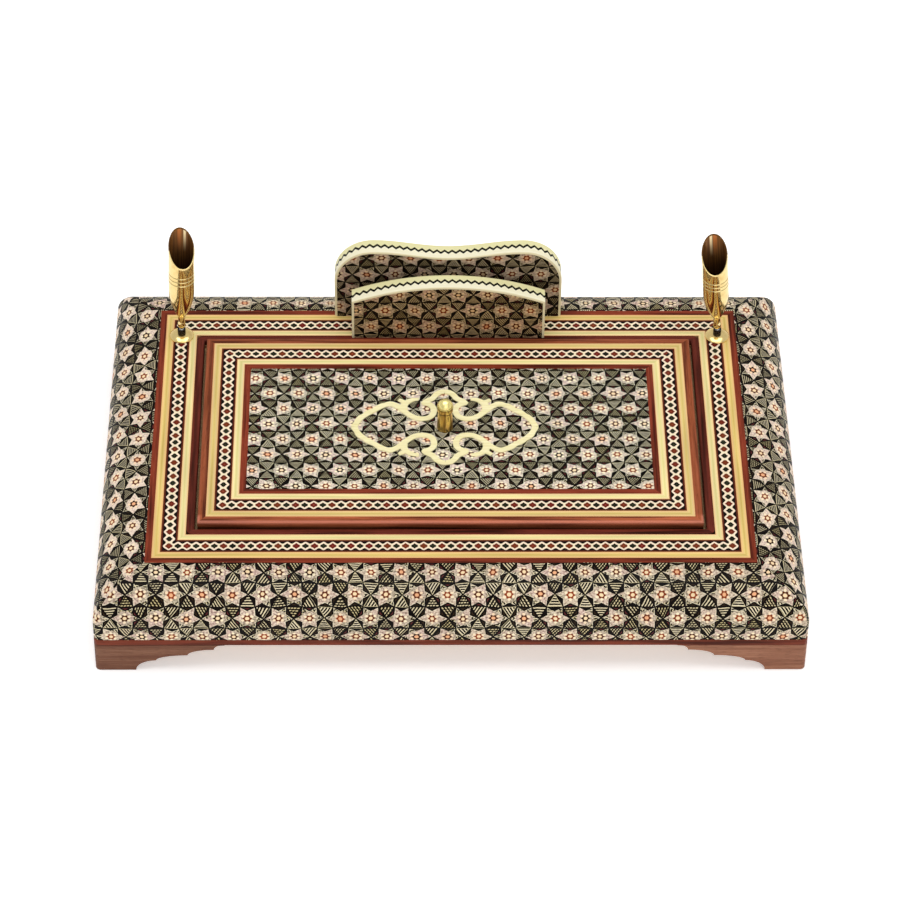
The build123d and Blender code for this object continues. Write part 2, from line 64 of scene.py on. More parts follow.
LID_HALF = (125.1, 67.85)
LID_CREAM = (-6.05, 4.1)
LID_BORDER = -12.15
LID_INNER = (-18.2, 4)
LID_LOW = 45.1
LID_TOP = 53.1
LID_EDGE = 4
LEDGE_TOP = 39.1
LINING_TOP = 23
LINING_SWELL = 0.75
INSIDE_HALF = (126.5, 69.25)
RACK_FRONT = (71.55, 81.55)  # from front face to rear face
RACK_BACK = (88.55, 98.55)
BANDING = 1.2
BANDING_EASE = 0.45
BACK_WIDTH = 118
BACK_HUMP = 44
BACK_DIP = 40
BACK_ROUND = 20
FRONT_WIDTH = 100
FRONT_ARCH = 34.7
FRONT_END = 24.7
LID_CENTRE = (-2.3, 0.4)  # middle of the medallion and of the knob
KNOB_HEIGHT = 18.6
KNOB_RIM = 11.7  # height of the rim's lower edge, and of the dome's foot
KNOB_DOME = 14.2
KNOB_FOOT_OUT = 4.1  # radii of the knob's foot, its top end, its rim and the flat on its dome
KNOB_NECK_OUT = 3.55
KNOB_RIM_OUT = 4.05
KNOB_TIP_OUT = 0.5
FUNNEL_FEET = {"left": (-138.5, 73), "right": (140.1, 73)}
FUNNEL_TURNS = {"left": (0, 2.2, 14), "right": (4.4, -5, 0)}  # degrees forward, sideways, round
FLANGE = 6.2
FLANGE_TOP = 2.2
BALL_UP = 4.3
BALL = 1.6
STEM = 0.8
NECK_FROM = 6.4
CONE_FROM = 14
CONE_THIN = 1.9
BORE_FROM = 17
TUBE = 6.7
TUBE_WALL = 0.5
TUBE_FROM = 33
TUBE_PLAIN = 46.5  # height of the plain tube over the grooves
TUBE_LIP = 50.5
TUBE_TOP = 68.5
MOUTH = 200  # stands for the slanted mouth in the funnel's profile
MOUTH_EASE = 0.12
GROOVE_FROM = 39.25
GROOVE_PITCH = 2.45
GROOVE = ((0, 0), (0.13, 0.12), (0.3, 0.42), (0.3, 0.48), (0.13, 0.78), (0, 0.9))  # depth and height

# How finely round forms are drawn
TURN_STEPS = 72
CROWN_STEPS = 24
CORNER_STEPS = 6
LINING_STEPS = (48, 16)
POINT = 0.001  # radius of a corner that is sharp in plan

# The inlay: pitches in mm between stars in a row and between rows, and links of the chain between corners
LID_PITCH = (14.65, 11.3)
SIDE_PITCH = (14.95, 11.9)
END_PITCH = (15.6, 11.9)
RACK_PITCH = (15.05, 10.9)
FRAME_LINKS = (62, 33)
LID_LINKS = (50, 23)


# Node trees

def linear(display):
    """A display colour such as ffaa00 as the linear colour that a node takes."""
    shares = [value / 255 for value in bytes.fromhex(display)]
    return (*[share / 12.92 if share <= 0.04045 else ((share + 0.055) / 1.055) ** 2.4
              for share in shares], 1)


def operator(name, swapped=False):
    """A method that puts two values through a math node."""
    def method(one, other):
        return one.graph.math(name, *((other, one) if swapped else (one, other)))
    return method


class Term:
    """An output in a node tree that takes part in + - * / and comparisons."""

    def __init__(self, graph, socket):
        self.graph = graph
        self.socket = socket

    __add__ = __radd__ = operator("ADD")
    __sub__ = operator("SUBTRACT")
    __rsub__ = operator("SUBTRACT", swapped=True)
    __mul__ = __rmul__ = operator("MULTIPLY")
    __truediv__ = operator("DIVIDE")
    __lt__ = operator("LESS_THAN")
    __gt__ = operator("GREATER_THAN")

    def __abs__(self):
        return self.graph.math("ABSOLUTE", self)


class Graph:
    """Adds nodes to a tree and links them. A text stands for a display colour."""

    def __init__(self, tree):
        self.tree = tree

    def node(self, kind, **settings):
        made = self.tree.nodes.new(kind)
        for name, value in settings.items():
            setattr(made, name, value)
        return made

    def feed(self, socket, value):
        if isinstance(value, Term):
            self.tree.links.new(value.socket, socket)
        else:
            socket.default_value = linear(value) if isinstance(value, str) else value

    def fill(self, made, values):
        """Feeds a node's inputs in their order."""
        for socket, value in zip(made.inputs, values):
            self.feed(socket, value)

    def put(self, made, **values):
        """Feeds a node's inputs by their names."""
        for name, value in values.items():
            self.feed(made.inputs[name.replace("_", " ")], value)

    def make(self, kind, *values, output=0, **settings):
        made = self.node(kind, **settings)
        self.fill(made, values)
        return Term(self, made.outputs[output])

    def math(self, operation, *values):
        return self.make("ShaderNodeMath", *values, operation=operation)

    def vector_math(self, operation, *values, output=0):
        return self.make("ShaderNodeVectorMath", *values, output=output, operation=operation)

    def fold(self, value, size):
        """0 at every even multiple of size, size at every odd one, and straight between."""
        return self.math("PINGPONG", value, size)

    def reach(self, x, y, angle):
        """How far a point lies out in the direction of that angle."""
        return x * self.math("COSINE", angle) + y * self.math("SINE", angle)

    def vector(self, x=0, y=0, z=0):
        return self.make("ShaderNodeCombineXYZ", x, y, z)

    def length(self, vector):
        return self.vector_math("LENGTH", vector, output=1)

    def parts(self, vector):
        made = self.node("ShaderNodeSeparateXYZ")
        self.feed(made.inputs[0], vector)
        return [Term(self, socket) for socket in made.outputs]

    def noise(self, vector, scale, detail=2, roughness=0.5):
        made = self.node("ShaderNodeTexNoise", noise_dimensions="3D")
        self.put(made, Vector=vector, Scale=scale, Detail=detail, Roughness=roughness)
        return Term(self, made.outputs[0])

    def random(self, vector):
        """Two random numbers from 0 to 1 that stay the same wherever vector does."""
        made = self.node("ShaderNodeTexWhiteNoise", noise_dimensions="3D")
        self.put(made, Vector=vector)
        return self.parts(Term(self, made.outputs["Color"]))[:2]

    def ramp(self, value, low, high, start=0, end=1):
        return self.make("ShaderNodeMapRange", value, low, high, start, end, clamp=True)

    def fall(self, value, low, high, start=1):
        """start up to low, and 0 from high."""
        return self.ramp(value, low, high, start, 0)

    def mix(self, share, first, second, kind="RGBA"):
        made = self.node("ShaderNodeMix", data_type=kind)
        base = {"FLOAT": 2, "VECTOR": 4, "RGBA": 6}[kind]
        for index, value in ((0, share), (base, first), (base + 1, second)):
            self.feed(made.inputs[index], value)
        return Term(self, made.outputs[base // 2 - 1])

    def scaled(self, vector, size):
        """A vector or a colour times a number."""
        return self.vector_math("SCALE", vector, (0, 0, 0), (0, 0, 0), size)

    def toned(self, colour, tone):
        """A colour with each of its parts times its own number."""
        return self.vector_math("MULTIPLY", colour, tone)

    def place(self):
        """Where the point is on the object, in mm."""
        made = self.node("ShaderNodeTexCoord")
        return self.scaled(Term(self, made.outputs["Object"]), 1 / MM)

    def unwrapped(self):
        """The point's place along and across its strip or skin, in mm."""
        return self.parts(self.make("ShaderNodeUVMap", uv_map="Measured"))[:2]

    def use(self, tree, *values):
        """The outputs of a node group that is fed with the values."""
        made = self.node("ShaderNodeGroup", node_tree=tree)
        self.fill(made, values)
        return [Term(self, socket) for socket in made.outputs]


class Group(Graph):
    """A node group while it is made. Its inputs are numbers; outputs gives kinds by name."""

    def __init__(self, name, inputs, outputs):
        super().__init__(bpy.data.node_groups.new(name, "ShaderNodeTree"))
        sockets = [("INPUT", label, "NodeSocketFloat") for label in inputs]
        sockets += [("OUTPUT", label, kind) for label, kind in outputs.items()]
        for way, label, kind in sockets:
            self.tree.interface.new_socket(label, in_out=way, socket_type=kind)
        entry = self.node("NodeGroupInput")
        self.given = [Term(self, socket) for socket in entry.outputs if socket.name]

    def close(self, *values):
        self.fill(self.node("NodeGroupOutput"), values)
        return self.tree


# The star pattern. Lengths inside it are shares of the distance between two stars of a row.

SIXTH = math.pi / 3  # a sixth of a turn
ROW = math.sqrt(3) / 2
TIP = 0.5  # a star's tips touch those of its neighbours
EDGE_ALONG = 0.53  # normal of a star's edge, from tip to notch
EDGE_ACROSS = 0.848
TRIANGLE_SIDE = 1 / (2 * math.sqrt(3))
TRIANGLE_EDGE = 0.437  # from a star's middle to the side of the hatched triangle beyond its notch
COARSE = 0.045  # half the distance between two threads of the hatching, in front and elsewhere
FINE = 0.033
DOT = 0.066  # radii in a star's heart: its dot, the dark eye, and the six petals round it
EYE = 0.148
PETAL_OUT = 0.163
PETAL = 0.05
BLUR = 0.008  # half the width over which an edge in the heart changes


def nearest_star(g, x, y):
    """Which star a point belongs to: the way from its middle, and its middle."""
    point = g.vector(x, y)
    first = g.vector_math("WRAP", point, (0.5, ROW, 1), (-0.5, -ROW, -1))
    moved = g.vector_math("SUBTRACT", point, (0.5, ROW, 0))
    second = g.vector_math("WRAP", moved, (0.5, ROW, 1), (-0.5, -ROW, -1))
    near = g.mix(g.length(first) < g.length(second), second, first, "VECTOR")
    return near, g.vector_math("SUBTRACT", point, near)


def hatching(g, x, y, angle, cell_x, cell_y, size):
    """Pale threads on dark wood in the triangle between three stars, square to one of its sides."""
    middle = g.math("FLOOR", angle / SIXTH) * SIXTH + SIXTH / 2
    middle_x = cell_x + g.math("COSINE", middle) * (2 * TRIANGLE_SIDE)
    middle_y = cell_y + g.math("SINE", middle) * (2 * TRIANGLE_SIDE)
    triangle = g.vector(g.math("ROUND", middle_x * 2), g.math("ROUND", middle_y / TRIANGLE_SIDE), 7)
    turn, tone = g.random(triangle)
    lay = g.math("FLOOR", turn * 3) * SIXTH + SIXTH / 2
    waver = (g.noise(g.vector(x, y), 14, 1) - 0.5) * 0.022
    stripe = g.fold(g.reach(x, y, lay) + waver, size)
    rung = g.fold(g.reach(x, y, lay + SIXTH) + waver, size)
    thread = g.mix(tone, "fff8da", "e0d49e")
    ground = g.mix(tone, "0a0200", "160e02")
    colour = g.mix(g.ramp(stripe, size * 0.31, size * 0.45), thread, ground)
    broken = g.ramp(rung, size * 0.6, size * 0.76) * (tone > 0.5)
    return g.mix(broken, colour, ground), tone


def star_heart(g, body, far, fold_x, fold_y, kind, shade):
    """A pale dot in a dark eye, with six small petals round it."""
    petal_way = g.length(g.vector(fold_x - PETAL_OUT * ROW, fold_y - PETAL_OUT * 0.5))
    eye = g.mix(kind, "220a03", "96401c")
    petal = g.mix(shade, "fff8d8", "ffe6c6")
    dot = g.mix(shade > 0.76, "ffe8be", "f6bc90")
    for distance, edge, colour in ((far, EYE, eye), (petal_way, PETAL, petal), (far, DOT, dot)):
        body = g.mix(g.fall(distance, edge - BLUR, edge + BLUR), body, colour)
    return body


def star_body(g, x, y, far, outside, hatch, sector_tone, kind, white):
    """The pale wood and bone of a star. Most of its tips are hatched like the triangles."""
    body = g.mix(kind, "c6aaa4", "c8bca4")
    body = g.mix(g.ramp(sector_tone, 0.35, 0.8, 0, 0.7), body, "96947a")
    body = g.mix(white, body, "f6e6d8")
    fleck = g.noise(g.vector(x, y, 4), 15, 2)
    body = g.mix(g.ramp(fleck, 0.53, 0.65, 0, 0.75) * (1 - white * 0.6), body, "544234")
    body = g.mix(g.ramp(fleck, 0.47, 0.37, 0, 0.6), body, "fffae8")
    body = g.mix(g.ramp(far, 0.285, 0.3) * (sector_tone > 0.4), body, hatch)
    light_edge = g.ramp(outside, -0.042, -0.034) * g.ramp(fleck, 0.58, 0.46, 0, 0.85)
    return g.mix(light_edge, body, "f4f0d6")


def star_pattern():
    """Pale stars with hatched triangles between them, and dark wood in their notches."""
    inputs = ("Along", "Across", "Pitch", "Row", "White", "Thread")
    g = Group("star_pattern", inputs, {"Color": "NodeSocketColor"})
    along, across, pitch, row, white, size = g.given
    shift_x = g.noise(g.vector(along, across), 0.09, 1) - 0.5
    shift_y = g.noise(g.vector(across + 40, along), 0.09, 1) - 0.5
    x = along / pitch + shift_x * 0.16
    y = across / row * ROW + shift_y * 0.16
    near, cell = nearest_star(g, x, y)
    cell_x, cell_y, _ = g.parts(cell)
    kind, shade = g.random(g.vector(g.math("ROUND", cell_x * 2), g.math("ROUND", cell_y / ROW), 3))
    near_x, near_y, _ = g.parts(near)
    far = g.length(near)
    angle = g.math("ARCTAN2", near_y, near_x)
    folded = g.fold(angle, SIXTH / 2)
    fold_x = far * g.math("COSINE", folded)
    fold_y = far * g.math("SINE", folded)
    outside = fold_x * EDGE_ALONG + fold_y * EDGE_ACROSS - EDGE_ALONG * TIP
    beyond = fold_x * ROW + fold_y * 0.5 - TRIANGLE_EDGE

    hatch, tone = hatching(g, x, y, angle, cell_x, cell_y, size)
    hatch = g.scaled(hatch, 1 - white * 0.6)
    inner = g.fall(beyond, -0.056, -0.044) * g.ramp(outside, 0.028, 0.04)
    wine = g.mix(shade > 0.55, "5c282a", "322414")
    dark = g.mix(inner * (tone + shade > 0.8), "080200", wine)
    rim = g.ramp(beyond, 0, 0.006) * (beyond < 0.02) * (tone < 0.3)
    colour = g.mix(g.ramp(beyond, 0.008, 0.016), dark, hatch)
    colour = g.mix(rim * 0.8, colour, "ded6ac")

    tip = g.vector(g.math("ROUND", angle / SIXTH), kind, shade)
    sector_tone, _ = g.random(tip)
    body = star_body(g, x, y, far, outside, hatch, sector_tone, kind, white)
    body = star_heart(g, body, far, fold_x, fold_y, kind, shade)
    colour = g.mix(g.fall(outside, -0.022, -0.014), colour, body)
    age = g.noise(g.vector(along, across, 9), 0.045, 3)
    return g.close(g.scaled(colour, g.ramp(age, 0.25, 0.75, 0.82, 1.02)))


# The border pattern, in mm from the middle of its strip

CHAIN_HALF = 2.18  # half width of the white chain, and how far its edges wave
CHAIN_WAVE = 0.66
HEART = (2, 1.95)  # tips of a heart along and across, and the half sizes of its body
HEART_BODY = (1.55, 0.9)


def border_pattern():
    """A white chain with wavy edges and small red and black stars, on a dark ground."""
    g = Group("border_pattern", ("Along", "Across", "Pitch"), {"Color": "NodeSocketColor"})
    along, across, pitch = g.given
    wobble = g.noise(g.vector(along, across), 0.35, 1) - 0.5
    index = g.math("ROUND", along / pitch)
    x = along - index * pitch
    y = across + wobble * 0.4
    red_heart = g.fold(index + 1, 1)
    body = g.math("MAXIMUM", abs(x) / HEART_BODY[0], abs(y) / HEART_BODY[1])
    reach = g.math("MINIMUM", abs(x) / HEART[0] + abs(y) / HEART[1], body) + (red_heart - 0.5) * -0.1
    vary, vary_more = g.random(g.vector(index, pitch, 5))

    edge = g.math("COSINE", x * 2 * math.pi / pitch) * CHAIN_WAVE + CHAIN_HALF
    ground = g.mix(g.ramp(abs(y), 3.1, 3.4), "100603", "5c2412")
    white = g.mix(g.ramp(abs(x), 1.3, 2), "fae4c8", "f6e6c2")
    colour = g.mix(g.ramp(abs(y) - edge, -0.12, 0.12), white, ground)
    black = g.mix(vary, "101208", "1e2212")
    red = g.mix(vary, "681a12", "703212")
    dot = g.mix(red_heart, "3c3e26", "9e4a38")
    dotted = g.ramp(g.length(g.vector(x, y)), 0.3, 0.5, 0.9, 0) * (vary_more + 0.2)
    heart = g.mix(dotted, g.mix(red_heart, black, red), dot)
    colour = g.mix(g.fall(reach, 0.93, 1.07), colour, heart)
    age = g.noise(g.vector(along, across, 2), 0.2, 2)
    return g.close(g.scaled(colour, g.ramp(age, 0.3, 0.7, 0.9, 1.04)))


def streaks():
    """Wood grain: fine long streaks, slower bands and pores, each from 0 to 1."""
    outputs = {name: "NodeSocketFloat" for name in ("Fine", "Broad", "Pores")}
    g = Group("streaks", ("Along", "Across", "Depth"), outputs)
    along, across, depth = g.given
    bend = g.noise(g.vector(along * 0.012, across * 0.1, depth * 0.1), 1, 1) * 3
    fine = g.noise(g.vector(along * 0.045, across * 1.5 + bend, depth * 1.5), 1, 3, 0.6)
    broad = g.noise(g.vector(along * 0.014, across * 0.32 + bend * 0.3, depth * 0.32), 1, 2)
    pores = g.noise(g.vector(along * 0.22, across * 5, depth * 5), 1, 1)
    return g.close(g.ramp(fine, 0.3, 0.7), g.ramp(broad, 0.32, 0.68), g.ramp(pores, 0.58, 0.72))


STARS = star_pattern()
BORDER = border_pattern()
STREAKS = streaks()


# Materials

SIDE_TONE = (0.95, 0.88, 0.82)  # how the lacquer colours the inlay under it
LID_TONE = (1, 0.98, 0.95)
RACK_FRONT_TONE = (0.66, 0.5, 0.35)
RACK_BACK_TONE = (0.61, 0.51, 0.43)
ZIGZAG_PITCH = 3.9
ZIGZAG_RISE = 1.9
ZIGZAG_LINE = 0.66  # half width of the line
BORE_REFLECTION_AND_COPPER = {"left": (63, 89), "right": (103, 84)}  # where round the bore the painted reflection and the copper band run, in degrees
FLOOR_GLOW = 0.34  # the paper is lit from behind as well, so it shows hardly any shadow


class Look(Graph):
    """A material while it is made."""

    def __init__(self, name):
        self.material = bpy.data.materials.new(name)
        self.material.use_nodes = True
        super().__init__(self.material.node_tree)
        self.shader = self.tree.nodes["Principled BSDF"]

    def set(self, **values):
        self.put(self.shader, **values)

    def lacquer(self, weight=0.1, roughness=0.12):
        self.set(Coat_Weight=weight, Coat_Roughness=roughness, Coat_IOR=1.35, Specular_IOR_Level=0.04)

    def finish(self, colour, roughness, height=None, step=0):
        """step is how many mm a full step of the height rises."""
        self.set(Base_Color=colour, Roughness=roughness)
        if height:
            bump = self.node("ShaderNodeBump")
            self.put(bump, Height=height, Distance=step * MM, Strength=1)
            self.set(Normal=Term(self, bump.outputs["Normal"]))
        return self.material


def along_and_across(g, half):
    """On a mitred rectangle of that half size: the run along the side, and the offset from its edge."""
    x, y, z = g.parts(g.place())
    out_x = abs(x) - half[0]
    out_y = abs(y) - half[1]
    on_end = out_x > out_y
    along = g.mix(on_end, x, y, "FLOAT")
    side = g.mix(on_end, g.math("SIGN", y), g.math("SIGN", x) * 2, "FLOAT")
    return along, g.math("MAXIMUM", out_x, out_y), side, on_end, z


def finish_inlay(g, colour, wear_scale):
    """Polished and lacquered inlay."""
    g.lacquer()
    wear = g.noise(g.place(), wear_scale, 3)
    return g.finish(colour, g.ramp(wear, 0.3, 0.7, 0.38, 0.55), g.noise(g.place(), 0.35, 2), 0.03)


def khatam(name, pitch, shift, white, tone, lies="unwrapped", thread=FINE):
    """The star pattern on an unwrapped skin, or on a level or upright CAD piece.
    white is how much paler the stars are, and how much darker the triangles between them."""
    g = Look(name)
    if lies == "unwrapped":
        along, across = g.unwrapped()
    else:
        along, y, z = g.parts(g.place())
        across = z if lies == "upright" else y
    (colour,) = g.use(STARS, along - shift[0], across - shift[1], *pitch, white, thread)
    return finish_inlay(g, g.toned(colour, tone), 0.08 if lies == "unwrapped" else 0.09)


def khatam_border(name, half, middle, counts):
    """counts is how many links of the chain lie between two corners, along and across the rectangle."""
    g = Look(name)
    along, offset, _, on_end, _ = along_and_across(g, half)
    lengths = [2 * (size + middle) for size in half]
    pitches = [length / count for length, count in zip(lengths, counts)]
    pitch = g.mix(on_end, pitches[0], pitches[1], "FLOAT")
    start = g.mix(on_end, lengths[0] / 2, lengths[1] / 2, "FLOAT")
    (colour,) = g.use(BORDER, along + start, offset - middle, pitch)
    return finish_inlay(g, colour, 0.1)


def striped_wood(name, half, middle, width, edge, core, line):
    """A pale strip of three laminations with a thin darker line through the middle one."""
    g = Look(name)
    along, offset, side, _, z = along_and_across(g, half)
    fine, broad, _ = g.use(STREAKS, along, offset + side * 17, z)
    across = abs(offset - middle) / (width / 2)
    colour = g.mix(g.ramp(across, 0.34, 0.52), core, edge)
    waver = (broad - 0.5) * 0.12
    colour = g.mix(g.fall(abs(across + waver), 0.06, 0.2, 0.55), colour, line)
    colour = g.mix(fine * 0.28, colour, line)
    colour = g.scaled(colour, g.ramp(broad, 0.1, 0.9, 0.84, 1.06))
    colour = g.mix(g.ramp(across, 0.55, 0.85, 0, 0.5), colour, "f0b074")
    colour = g.mix(g.ramp(across, 0.86, 1, 0, 0.6), colour, "8c4a24")
    g.lacquer()
    return g.finish(colour, g.ramp(fine, 0, 1, 0.34, 0.46), fine, 0.02)


def red_wood(name, half, light, mid, dark, shaded=None, arris=None):
    """shaded is the heights between which painted shade on its side fades out, and arris the colour of a
    painted highlight on the front's top arris; elsewhere the edge gets painted shade.
    """
    g = Look(name)
    along, offset, side, _, z = along_and_across(g, half)
    fine, broad, pores = g.use(STREAKS, along, offset + side * 31, z)
    colour = g.mix(fine, mid, light)
    colour = g.mix(g.ramp(broad, 0.35, 0.9), colour, dark)
    colour = g.mix(pores * 0.45, colour, "30100a")
    if arris:
        # Painted highlight along the front's top arris, and painted shade on the lid edge's other sides
        front = g.fall(g.parts(g.place())[1], -half[1] + 4, -half[1] + 6)
        colour = g.mix(g.ramp(offset + (z - shaded[1]), -1.5, -0.2, 0, 0.7) * front, colour, arris)
        colour = g.scaled(colour, g.ramp(front, 0, 1, 0.74, 1))
    # Painted shade: the side is darker towards its foot
    if shaded:
        colour = g.scaled(colour, g.ramp(z, shaded[0], shaded[1], 0.28, 1))
    g.lacquer()
    return g.finish(colour, g.ramp(broad, 0, 1, 0.3, 0.45), fine - pores * 0.6, 0.03)


def foot_wood():
    g = Look("foot_wood_brown")
    along, offset, side, _, z = along_and_across(g, FRAME_HALF)
    fine, broad, pores = g.use(STREAKS, along, z + side * 13, offset * 0.4)
    colour = g.mix(broad, "9e7058", "7c503e")
    colour = g.mix(fine * 0.7, colour, "6c4432")
    colour = g.mix(pores * 0.6, colour, "42261c")
    # Darker towards the left and lighter towards the right
    x = g.parts(g.place())[0]
    colour = g.scaled(colour, g.ramp(x, -FRAME_HALF[0], FRAME_HALF[0], 0.76, 1.2))
    g.lacquer(0.15, 0.25)
    return g.finish(colour, g.ramp(fine, 0, 1, 0.42, 0.6), fine - pores, 0.05)


def plain_wood():
    """Core timber: walls, boards and blocks that hardly show."""
    g = Look("core_timber")
    fine, broad, pores = g.use(STREAKS, *g.parts(g.place()))
    dark = "ac865a"
    colour = g.mix(fine, "caa87a", dark)
    colour = g.mix(broad * 0.4, colour, dark)
    colour = g.mix(pores * 0.5, colour, "46301e")
    return g.finish(colour, g.ramp(broad, 0, 1, 0.55, 0.7), fine - pores * 0.5, 0.06)


def banding_wood():
    """Pale banding with a black zigzag line along its middle."""
    g = Look("banding_pale")
    along, across = g.unwrapped()
    fine, _, _ = g.use(STREAKS, along, across, 0)
    colour = g.mix(g.ramp(across, -0.6, 0.6), "f0ead0", "e4deac")
    colour = g.mix(fine * 0.3, colour, "ccc284")
    ragged = (g.noise(g.vector(along, across), 0.9, 1) - 0.5) * 0.35
    zig = (g.fold(along + ragged, ZIGZAG_PITCH / 2) / (ZIGZAG_PITCH / 2) - 0.5) * ZIGZAG_RISE
    distance = abs(across - zig) * 0.76
    glint = g.ramp(across - zig, -1.1, -0.5, 0, 0.7) * (across < zig)
    colour = g.mix(glint, colour, "fcf8e8")
    on_line = g.fall(distance, ZIGZAG_LINE - 0.06, ZIGZAG_LINE + 0.08)
    colour = g.mix(on_line, colour, "0c0a02")
    colour = g.mix(g.ramp(abs(across), 4.5, 5, 0, 0.35), colour, "ceb46e")
    g.lacquer()
    return g.finish(colour, g.ramp(fine, 0, 1, 0.34, 0.48), fine, 0.02)


def medallion_wood():
    """Carved pale fretwork."""
    g = Look("medallion_pale")
    fine, _, pores = g.use(STREAKS, *g.parts(g.place()))
    colour = g.mix(fine, "f8f0c4", "e8dca0")
    colour = g.mix(pores * 0.3, colour, "beaa6e")
    g.lacquer()
    return g.finish(colour, g.ramp(fine, 0, 1, 0.35, 0.5), fine, 0.03)


def turned_metal(name, colour, tarnish, roughness, marks=0.01):
    """Polished metal with fine turning marks round its axis, unwrapped as angle and height."""
    g = Look(name)
    around, up = g.unwrapped()
    lines = g.noise(g.vector(around * 0.05, up * 9), 1, 2)
    cloud = g.noise(g.place(), 0.25, 3)
    g.set(Metallic=1)
    colour = g.mix(g.ramp(cloud, 0.45, 0.8, 0, 0.5), colour, tarnish)
    return g.finish(colour, g.ramp(cloud, 0.3, 0.8, roughness, roughness * 1.8), lines, marks)


def knob_brass():
    """Painted reflections run up and down its sides, a painted highlight makes its dome pale, and painted
    shade darkens the lines at its rim.
    """
    g = Look("brass_knob")
    around, _ = g.unwrapped()
    up = g.parts(g.place())[2] - LID_TOP
    # Painted reflections: light and dark bands up and down the sides
    reflection_streak = g.noise(g.vector(around * 0.07, up * 0.03), 1, 2)
    colour = g.mix(g.ramp(reflection_streak, 0.4, 0.6, 0, 0.75), "eccc7a", "a87432")
    # Painted highlight: pale over the whole dome
    colour = g.mix(g.ramp(up, KNOB_DOME, KNOB_DOME + 0.3), colour, "ffee9c")
    # Painted shade: dark lines at the dome's foot and at the rim's lower edge
    for line in (KNOB_DOME, KNOB_RIM):
        colour = g.mix(g.fall(abs(up - line), 0.15, 0.4, 0.8), colour, "543410")
    g.set(Metallic=1)
    return g.finish(colour, g.ramp(reflection_streak, 0.3, 0.7, 0.24, 0.32))


def bore_metal(side):
    """The dull inside of a funnel, with painted shade deeper down, and a painted reflection and a copper
    band down its back wall.
    """
    g = Look(f"brass_bore_{side}")
    painted_reflection, copper = BORE_REFLECTION_AND_COPPER[side]
    around, up = g.unwrapped()
    mottle = g.noise(g.vector(around, up * 0.02), 0.25, 2)
    colour = g.mix(g.ramp(mottle, 0.4, 0.6), "94622e", "6a421e")
    level = g.parts(g.place())[2] - FRAME_TOP
    upper = g.ramp(level, TUBE_LIP + 2, TUBE_TOP - 2)
    colour = g.mix(g.fall(abs(around - copper), 6, 12, 0.8) * upper, colour, "cc7838")
    # Painted reflection: a pale band down the upper back wall
    colour = g.mix(g.fall(abs(around - painted_reflection), 4, 8) * upper, colour, "ffe8b4")
    # Painted shade: darker deeper down the bore
    colour = g.scaled(colour, g.ramp(level, TUBE_LIP - 4, TUBE_TOP, 0.55, 1))
    g.set(Metallic=0.5)
    return g.finish(colour, g.ramp(mottle, 0.3, 0.7, 0.36, 0.48))


def brushed_steel():
    g = Look("steel_brushed")
    cloud = g.noise(g.toned(g.place(), (0.4, 6, 6)), 1, 3)
    g.set(Metallic=1)
    colour = g.mix(cloud, "b0b2b4", "8c8c8e")
    return g.finish(colour, g.ramp(cloud, 0.3, 0.7, 0.25, 0.42), cloud, 0.02)


def velvet():
    g = Look("velvet_red")
    place = g.place()
    pile = g.noise(place, 2.6, 3, 0.7)
    crush = g.noise(place, 0.05, 3)
    colour = g.mix(pile, "540a14", "801622")
    colour = g.mix(g.ramp(crush, 0.4, 0.7, 0, 0.5), colour, "962832")
    g.set(Sheen_Weight=0.6, Sheen_Roughness=0.35, Sheen_Tint="e27880", Specular_IOR_Level=0.2)
    return g.finish(colour, g.ramp(pile, 0.2, 0.8, 0.82, 0.95), pile, 0.25)


def paper_floor():
    g = Look("paper_floor")
    cloud = g.noise(g.place(), 0.02, 2)
    g.set(Specular_IOR_Level=0, Emission_Strength=FLOOR_GLOW, Emission_Color="ffffff")
    return g.finish(g.mix(cloud, "fdfdfd", "fafafa"), g.ramp(cloud, 0, 1, 0.85, 0.95))


# Meshes

def weld(mesh):
    """Joins points that fall together, such as those on the axis of a lathe form."""
    shape = bmesh.new()
    shape.from_mesh(mesh)
    bmesh.ops.remove_doubles(shape, verts=shape.verts, dist=1e-7)
    bmesh.ops.recalc_face_normals(shape, faces=shape.faces)
    shape.to_mesh(mesh)
    shape.free()


def add_piece(name, shape, material, body, replaced, sharp=35, welded=True):
    """shape is points in mm, faces, and for each face the along and across of its corners in mm."""
    points, faces, measures = shape
    mesh = bpy.data.meshes.new(name)
    mesh.from_pydata([Vector(point) * MM for point in points], [], faces)
    layer = mesh.uv_layers.new(name="Measured")
    layer.data.foreach_set("uv", [number for face in measures for corner in face for number in corner])
    mesh.polygons.foreach_set("use_smooth", [True] * len(mesh.polygons))
    mesh.set_sharp_from_angle(angle=math.radians(sharp))
    mesh.materials.append(material)
    piece = bpy.data.objects.new(name, mesh)
    bpy.context.scene.collection.objects.link(piece)
    if welded:
        weld(mesh)
    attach(piece, body)
    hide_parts(replaced)
    return piece


def strip(rows, measures, closed_rows=False, closed_columns=False):
    """Quads between rows of points. Returns points, faces and each face's measures.
    measures has one more row or column than points where that way is closed."""
    points = [point for row in rows for point in row]
    wide = len(rows[0])
    faces, marks = [], []
    for i in range(len(rows) if closed_rows else len(rows) - 1):
        for j in range(wide if closed_columns else wide - 1):
            here, ahead = i * wide, (i + 1) % len(rows) * wide
            beside = (j + 1) % wide
            faces.append([here + j, here + beside, ahead + beside, ahead + j])
            marks.append([*measures[i][j:j + 2], *measures[i + 1][j:j + 2][::-1]])
    return points, faces, marks


def bar(rows, measures):
    """A strip with closed rows and a face at either end."""
    points, faces, marks = strip(rows, measures, closed_rows=True)
    wide = len(rows[0])
    for column in (0, wide - 1):
        faces.append([row * wide + column for row in range(len(rows))])
        marks.append([line[column] for line in measures[:-1]])
    return points, faces, marks


